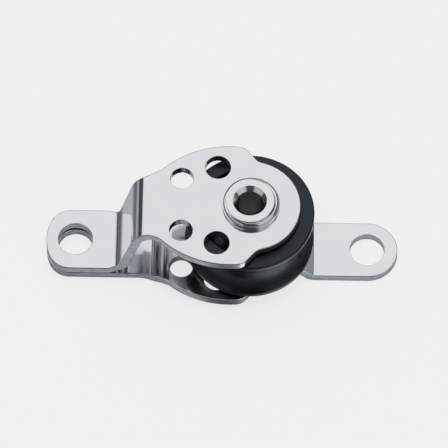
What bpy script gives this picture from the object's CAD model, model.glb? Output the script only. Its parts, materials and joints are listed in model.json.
import bpy
import json
import math
from mathutils import Matrix, Vector


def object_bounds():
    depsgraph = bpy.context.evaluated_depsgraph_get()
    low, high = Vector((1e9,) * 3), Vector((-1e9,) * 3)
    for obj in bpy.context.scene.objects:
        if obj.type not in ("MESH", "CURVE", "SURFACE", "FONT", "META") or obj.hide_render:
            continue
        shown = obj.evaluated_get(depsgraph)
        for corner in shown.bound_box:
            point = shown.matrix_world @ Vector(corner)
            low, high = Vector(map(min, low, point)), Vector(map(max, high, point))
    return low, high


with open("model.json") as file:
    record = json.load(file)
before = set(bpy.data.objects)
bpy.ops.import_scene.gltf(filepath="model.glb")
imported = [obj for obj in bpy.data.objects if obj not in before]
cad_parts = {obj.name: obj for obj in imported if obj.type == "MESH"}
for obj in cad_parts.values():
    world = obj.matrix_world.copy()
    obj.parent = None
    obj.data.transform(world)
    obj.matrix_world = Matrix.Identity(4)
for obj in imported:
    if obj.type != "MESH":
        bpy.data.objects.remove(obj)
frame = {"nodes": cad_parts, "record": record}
cad_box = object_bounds()

MM = 0.001


# --- node helpers ---

def new_material(name):
    material = bpy.data.materials.new(name)
    material.use_nodes = True
    tree = material.node_tree
    tree.nodes.clear()
    return material, tree


def add_node(tree, kind, inputs=None, **settings):
    """Adds a node. `inputs` maps a socket's name or number to a value or to another node's output socket."""
    node = tree.nodes.new(kind)
    for name, value in settings.items():
        setattr(node, name, value)
    for key, value in (inputs or {}).items():
        if isinstance(value, bpy.types.NodeSocket):
            tree.links.new(value, node.inputs[key])
        else:
            node.inputs[key].default_value = value
    return node


def ramp(tree, value, low, high, to_low, to_high):
    """Output of a linear map of `value` from low..high to to_low..to_high, clamped."""
    node = add_node(tree, "ShaderNodeMapRange", {
        "Value": value, "From Min": low, "From Max": high, "To Min": to_low, "To Max": to_high,
    })
    return node.outputs["Result"]


def mix_colour(tree, share, first, second):
    node = add_node(tree, "ShaderNodeMix", data_type="RGBA")
    for key, value in (("Factor", share), ("A", first), ("B", second)):
        socket = [s for s in node.inputs if s.name == key and s.enabled][0]
        if isinstance(value, bpy.types.NodeSocket):
            tree.links.new(value, socket)
        else:
            socket.default_value = value
    return [s for s in node.outputs if s.enabled][0]


def maths(tree, operation, first, second=0.0):
    return add_node(tree, "ShaderNodeMath", {0: first, 1: second}, operation=operation).outputs[0]


def noise(tree, vector, scale, detail=3.0, rough=0.5):
    node = add_node(tree, "ShaderNodeTexNoise", {
        "Vector": vector, "Scale": scale, "Detail": detail, "Roughness": rough,
    })
    return node.outputs["Fac"]


def stretched(tree, vector, stretch):
    return add_node(tree, "ShaderNodeMapping", {"Vector": vector, "Scale": stretch}).outputs[0]


def panel(tree, across, along, x_range, y_range, soft):
    """1 inside a rectangle of these two coordinates and 0 outside, with a soft edge."""
    share = None
    for value, (low, high) in ((across, x_range), (along, y_range)):
        rising = ramp(tree, value, low - soft, low + soft, 0, 1)
        falling = ramp(tree, value, high - soft, high + soft, 1, 0)
        both = maths(tree, "MULTIPLY", rising, falling)
        share = both if share is None else maths(tree, "MULTIPLY", share, both)
    return share


def turning_rings(tree, place, scale, detail):
    """Noise that is the same all the way round the axle, as a lathe tool leaves it."""
    split = add_node(tree, "ShaderNodeSeparateXYZ", {0: place})
    flat = add_node(tree, "ShaderNodeCombineXYZ", {"X": split.outputs["X"], "Y": split.outputs["Y"]})
    radius = add_node(tree, "ShaderNodeVectorMath", {0: flat.outputs[0]}, operation="LENGTH").outputs["Value"]
    ring_place = add_node(tree, "ShaderNodeCombineXYZ", {"X": radius, "Y": split.outputs["Z"]}).outputs[0]
    return noise(tree, stretched(tree, ring_place, (scale, scale, 1)), 1.0, detail)


def bump(tree, height, depth, normal=None):
    """Bump of the given depth in metres, on top of `normal` if there is one."""
    inputs = {"Height": height, "Distance": depth, "Strength": 1.0}
    if normal is not None:
        inputs["Normal"] = normal
    return add_node(tree, "ShaderNodeBump", inputs).outputs["Normal"]


def finish_material(tree, shader):
    add_node(tree, "ShaderNodeOutputMaterial", {"Surface": shader.outputs[0]})


# --- materials ---

# streaky walls where the sheet was punched out
SHEARED = (0.50, 0.515, 0.54, 1)

# dull strip that the press tool left along the foot of the upper plate's web: colour and where it lies
PRESSED = (0.25, 0.27, 0.30, 1)
PRESSED_X = (-25.3 * MM, -23.95 * MM)
PRESSED_Z = (-6.2 * MM, -2.9 * MM)
PRESSED_SOFTNESS = 0.28 * MM


def punched_walls(tree, place):
    """Two outputs: how far a face looks sideways, and how sheared it is, in streaks on the sideways faces."""
    facing = add_node(tree, "ShaderNodeNewGeometry").outputs["True Normal"]
    turned = add_node(
        tree, "ShaderNodeVectorTransform", {"Vector": facing},
        vector_type="NORMAL", convert_from="WORLD", convert_to="OBJECT",
    )
    split = add_node(tree, "ShaderNodeSeparateXYZ", {0: turned.outputs[0]})
    sideways = maths(tree, "ABSOLUTE", split.outputs["Y"])
    streaks = noise(tree, stretched(tree, place, (700, 700, 3000)), 1.0, 4)
    wall = ramp(tree, sideways, 0.30, 0.55, 0, 1)
    return sideways, maths(tree, "MULTIPLY", wall, ramp(tree, streaks, 0.35, 0.65, 0.25, 1))


def pressed_strip(tree, place, sideways):
    """1 on the dull strip, fading out on the walls at its ends."""
    split = add_node(tree, "ShaderNodeSeparateXYZ", {0: place})
    inside = panel(tree, split.outputs["X"], split.outputs["Z"], PRESSED_X, PRESSED_Z, PRESSED_SOFTNESS)
    return maths(tree, "MULTIPLY", inside, ramp(tree, sideways, 0.2, 0.5, 0.85, 0))


def polished_sheet(name):
    """Tumbled and polished stainless sheet: mirror-like, faintly wavy, with fine rolling lines along X."""
    material, tree = new_material(name)
    place = add_node(tree, "ShaderNodeTexCoord").outputs["Object"]
    grain = noise(tree, stretched(tree, place, (60, 2600, 2600)), 1.0, 4)
    cloud = noise(tree, place, 160, 3)
    waves = noise(tree, place, 330, 1)
    sideways, sheared = punched_walls(tree, place)
    pressed = pressed_strip(tree, place, sideways)
    clouded = ramp(tree, cloud, 0.3, 0.7, 0, 1)
    colour = mix_colour(tree, clouded, (0.80, 0.81, 0.835, 1), (0.84, 0.84, 0.855, 1))
    colour = mix_colour(tree, sheared, colour, SHEARED)
    colour = mix_colour(tree, pressed, colour, PRESSED)
    rough = ramp(tree, grain, 0.3, 0.7, 0.075, 0.115)
    rough = maths(tree, "ADD", rough, ramp(tree, cloud, 0.35, 0.65, 0, 0.025))
    rough = maths(tree, "ADD", rough, maths(tree, "MULTIPLY", sheared, 0.1))
    rough = maths(tree, "ADD", rough, maths(tree, "MULTIPLY", pressed, 0.22))
    normal = bump(tree, waves, 0.004 * MM)
    normal = bump(tree, grain, 0.0006 * MM, normal)
    shader = add_node(tree, "ShaderNodeBsdfPrincipled", {
        "Base Color": colour, "Metallic": 1.0, "Roughness": rough, "Normal": normal,
    })
    finish_material(tree, shader)
    return material


def turned_steel(name):
    """Turned and polished stainless: fine rings about the axle."""
    material, tree = new_material(name)
    place = add_node(tree, "ShaderNodeTexCoord").outputs["Object"]
    rings = turning_rings(tree, place, 9000, 2)
    cloud = noise(tree, place, 500, 3)
    colour = mix_colour(tree, cloud, (0.80, 0.81, 0.83, 1), (0.86, 0.86, 0.87, 1))
    rough = maths(tree, "ADD", ramp(tree, rings, 0.3, 0.7, 0.09, 0.16), ramp(tree, cloud, 0.3, 0.7, 0, 0.04))
    shader = add_node(tree, "ShaderNodeBsdfPrincipled", {
        "Base Color": colour, "Metallic": 1.0, "Roughness": rough, "Normal": bump(tree, rings, 0.0008 * MM),
    })
    finish_material(tree, shader)
    return material


def ground_steel(name):
    """Ground stainless of the hub: duller than the polished pieces."""
    material, tree = new_material(name)
    place = add_node(tree, "ShaderNodeTexCoord").outputs["Object"]
    grain = noise(tree, stretched(tree, place, (700, 700, 9000)), 1.0, 3)
    colour = mix_colour(tree, grain, (0.58, 0.59, 0.61, 1), (0.70, 0.71, 0.72, 1))
    shader = add_node(tree, "ShaderNodeBsdfPrincipled", {
        "Base Color": colour, "Metallic": 1.0, "Roughness": ramp(tree, grain, 0.3, 0.7, 0.22, 0.34),
        "Normal": bump(tree, grain, 0.001 * MM),
    })
    finish_material(tree, shader)
    return material


def sheave_plastic(name):
    """Satin black acetal, turned after moulding: faint rings about the axle, soft mottled sheen."""
    material, tree = new_material(name)
    place = add_node(tree, "ShaderNodeTexCoord").outputs["Object"]
    rings = turning_rings(tree, place, 4200, 3)
    cloud = noise(tree, place, 260, 4)
    fine = noise(tree, place, 5200, 2)
    colour = mix_colour(tree, cloud, (0.0018, 0.0023, 0.0030, 1), (0.0045, 0.0056, 0.0072, 1))
    rough = ramp(tree, cloud, 0.3, 0.7, 0.20, 0.30)
    rough = maths(tree, "ADD", rough, ramp(tree, rings, 0.3, 0.7, -0.03, 0.04))
    normal = bump(tree, rings, 0.0022 * MM)
    normal = bump(tree, fine, 0.0016 * MM, normal)
    shader = add_node(tree, "ShaderNodeBsdfPrincipled", {
        "Base Color": colour, "Roughness": rough, "Normal": normal, "Specular IOR Level": 0.5,
        "Specular Tint": (0.80, 0.89, 1.0, 1),
    })
    finish_material(tree, shader)
    return material


def ball_plastic(name):
    """Glossy black acetal of the balls."""
    material, tree = new_material(name)
    place = add_node(tree, "ShaderNodeTexCoord").outputs["Object"]
    cloud = noise(tree, place, 900, 3)
    colour = mix_colour(tree, cloud, (0.006, 0.007, 0.008, 1), (0.013, 0.014, 0.016, 1))
    shader = add_node(tree, "ShaderNodeBsdfPrincipled", {
        "Base Color": colour, "Roughness": ramp(tree, cloud, 0.3, 0.7, 0.12, 0.2),
        "Normal": bump(tree, noise(tree, place, 4000, 2), 0.0008 * MM),
    })
    finish_material(tree, shader)
    return material


MATERIALS = {
    "polished_sheet": polished_sheet,
    "turned_steel": turned_steel,
    "hub_steel": ground_steel,
    "sheave_plastic": sheave_plastic,
    "ball_plastic": ball_plastic,
}


def paint_nodes():
    made = {slot: make(slot) for slot, make in MATERIALS.items()}
    for part in frame["record"]["subparts"]:
        node = frame["nodes"][part["node"]]
        node.data.materials.clear()
        node.data.materials.append(made[part["material_slot"]])


# --- stage ---

FLOOR_SIZE = 4.0
PALE = (0.846, 0.846, 0.838, 1)
BASE_Z = cad_box[0].z
FLOOR_GAP = 0.02 * MM          # below the object, so that the two don't flicker
LIT_PALE = (0.78, 0.78, 0.78, 1)
EVENNESS = 0.9                 # share of the camera's floor that is evenly bright instead of lit

# what the metal sees of the floor: distance from the origin in metres, and brightness
FLOOR_TONES = (
    (0.0, 0.44), (0.034, 0.32), (0.048, 0.12), (0.072, 0.10), (0.085, 0.30), (0.25, 0.24), (0.4, 0.08),
)
FLOOR_REACH = 0.4
# shade before the sheave and a lit spot to its right: centre, radius and softness in metres, and brightness
FLOOR_PATCHES = (
    ((-5 * MM, -18 * MM), 5.5 * MM, 2.5 * MM, 0.06),
    ((12 * MM, -17 * MM), 7.5 * MM, 3.0 * MM, 1.0),
)


def cool_grey(level):
    return 0.94 * level, level, 1.06 * level, 1


def floor():
    """Pale sweep, almost evenly lit, as the camera sees it.

    Everything but the camera sees a darker table in its place. The table's tones and two patches are painted
    to suit the photo's view.
    """
    bpy.ops.mesh.primitive_plane_add(size=FLOOR_SIZE, location=(0, 0, BASE_Z - FLOOR_GAP))
    plane = bpy.context.object
    plane.name = "floor"
    material, tree = new_material("pale_floor")
    place = add_node(tree, "ShaderNodeTexCoord").outputs["Object"]
    distance = add_node(tree, "ShaderNodeVectorMath", {0: place}, operation="LENGTH").outputs["Value"]
    tones = add_node(tree, "ShaderNodeValToRGB", {"Fac": ramp(tree, distance, 0, FLOOR_REACH, 0, 1)})
    stops = tones.color_ramp.elements
    while len(stops) < len(FLOOR_TONES):
        stops.new(1.0)
    for stop, (reach, tone) in zip(stops, FLOOR_TONES):
        stop.position = reach / FLOOR_REACH
        stop.color = cool_grey(tone)
    tone = tones.outputs["Color"]
    for (x, y), radius, soft, level in FLOOR_PATCHES:
        gap = add_node(tree, "ShaderNodeVectorMath", {0: place, 1: (x, y, 0)}, operation="DISTANCE")
        inside = ramp(tree, gap.outputs["Value"], radius - soft, radius + soft, 1, 0)
        tone = mix_colour(tree, inside, tone, cool_grey(level))
    table = add_node(tree, "ShaderNodeBsdfDiffuse", {"Color": tone})
    pale = add_node(tree, "ShaderNodeBsdfDiffuse", {"Color": LIT_PALE})
    even = add_node(tree, "ShaderNodeEmission", {"Color": PALE, "Strength": 1.0})
    seen = add_node(tree, "ShaderNodeMixShader", {0: EVENNESS, 1: pale.outputs[0], 2: even.outputs[0]})
    path = add_node(tree, "ShaderNodeLightPath")
    shader = add_node(tree, "ShaderNodeMixShader", {
        0: path.outputs["Is Camera Ray"], 1: table.outputs[0], 2: seen.outputs[0],
    })
    finish_material(tree, shader)
    plane.data.materials.append(material)


# softboxes overhead, as rectangles on a ceiling one unit up: x range, y range, edge softness, brightness
CEILING = (
    ((-3.3, 1.05), (-0.16, 2.1), 0.08, 0.86),
    ((0.30, 1.3), (-1.0, -0.25), 0.10, 0.62),
    ((-1.6, -0.8), (-1.2, -0.5), 0.10, 0.35),
)
# light panels standing round the room: range of azimuth from the front in degrees, range of the sine of
# elevation, softness, brightness
WALLS = (
    ((24, 80), (0.10, 0.62), 0.07, 0.60),
    ((-80, -24), (0.10, 0.55), 0.07, 0.48),
    ((95, 150), (0.02, 0.24), 0.05, 0.42),
)
ROOM = (0.055, 0.060, 0.068, 1)

LOWEST = 0.02                  # sine of elevation at which the ceiling's far edge is cut off


def softbox_white(level):
    return level, level, 1.02 * level, 1


def sky():
    """Studio round the object: softboxes overhead in a dark room. The camera sees only the pale backdrop."""
    world = bpy.data.worlds.new("studio")
    bpy.context.scene.world = world
    world.use_nodes = True
    tree = world.node_tree
    tree.nodes.clear()
    look = add_node(tree, "ShaderNodeTexCoord").outputs["Generated"]
    split = add_node(tree, "ShaderNodeSeparateXYZ", {0: look})
    height = maths(tree, "MAXIMUM", split.outputs["Z"], LOWEST)
    across = maths(tree, "DIVIDE", split.outputs["X"], height)
    along = maths(tree, "DIVIDE", split.outputs["Y"], height)
    light = ROOM
    for x_range, y_range, soft, level in CEILING:
        inside = panel(tree, across, along, x_range, y_range, soft)
        light = mix_colour(tree, inside, light, softbox_white(level))
    front = maths(tree, "MULTIPLY", split.outputs["Y"], -1.0)
    azimuth = maths(tree, "ARCTAN2", split.outputs["X"], front)
    for turn_range, rise_range, soft, level in WALLS:
        radians_range = tuple(math.radians(angle) for angle in turn_range)
        inside = panel(tree, azimuth, split.outputs["Z"], radians_range, rise_range, soft)
        light = mix_colour(tree, inside, light, softbox_white(level))
    path = add_node(tree, "ShaderNodeLightPath")
    colour = mix_colour(tree, path.outputs["Is Camera Ray"], light, PALE)
    background = add_node(tree, "ShaderNodeBackground", {"Color": colour, "Strength": 1.0})
    add_node(tree, "ShaderNodeOutputWorld", {"Surface": background.outputs[0]})


FILL_PLACE = Vector((0.0, -0.1, 0.9))
FILL_SIZE = 0.8
FILL_POWER = 9


def overhead_fill():
    """Soft light aimed at the origin. It shades the floor and the plastic, but doesn't show in the metal."""
    light = bpy.data.lights.new("overhead_fill", "AREA")
    light.shape = "DISK"
    light.size = FILL_SIZE
    light.energy = FILL_POWER
    holder = bpy.data.objects.new("overhead_fill", light)
    holder.location = FILL_PLACE
    holder.rotation_euler = (-FILL_PLACE).to_track_quat("-Z", "Y").to_euler()
    holder.visible_glossy = False
    bpy.context.scene.collection.objects.link(holder)


# the camera: turn about Z, rise over the floor and roll in degrees, the point it looks at, distance and lens
VIEW_ANGLES = (0.36, 61.5, -0.65)
VIEW_MIDDLE = Vector((-4.78, -3.15, 6.41)) * MM
VIEW_DISTANCE = 0.9376
LENS_MM = 401.8
SENSOR_MM = 36
FARTHEST = 20


def camera():
    """The photograph's long-lens view from above, with the horizon a hair off level."""
    turn, rise, roll = (math.radians(angle) for angle in VIEW_ANGLES)
    right = Vector((math.cos(turn), math.sin(turn), 0))
    up = Vector((-math.sin(turn) * math.sin(rise), math.cos(turn) * math.sin(rise), math.cos(rise)))
    back = right.cross(up)
    right_rolled = right * math.cos(roll) - up * math.sin(roll)
    up_rolled = right * math.sin(roll) + up * math.cos(roll)
    axes = Matrix((right_rolled, up_rolled, back)).transposed().to_4x4()
    data = bpy.data.cameras.new("camera")
    data.lens = LENS_MM
    data.sensor_width = SENSOR_MM
    data.clip_end = FARTHEST
    holder = bpy.data.objects.new("camera", data)
    holder.matrix_world = Matrix.Translation(VIEW_MIDDLE + back * VIEW_DISTANCE) @ axes
    bpy.context.scene.collection.objects.link(holder)
    bpy.context.scene.camera = holder


paint_nodes()
floor()
sky()
overhead_fill()
camera()
bpy.context.scene.view_settings.view_transform = "Standard"
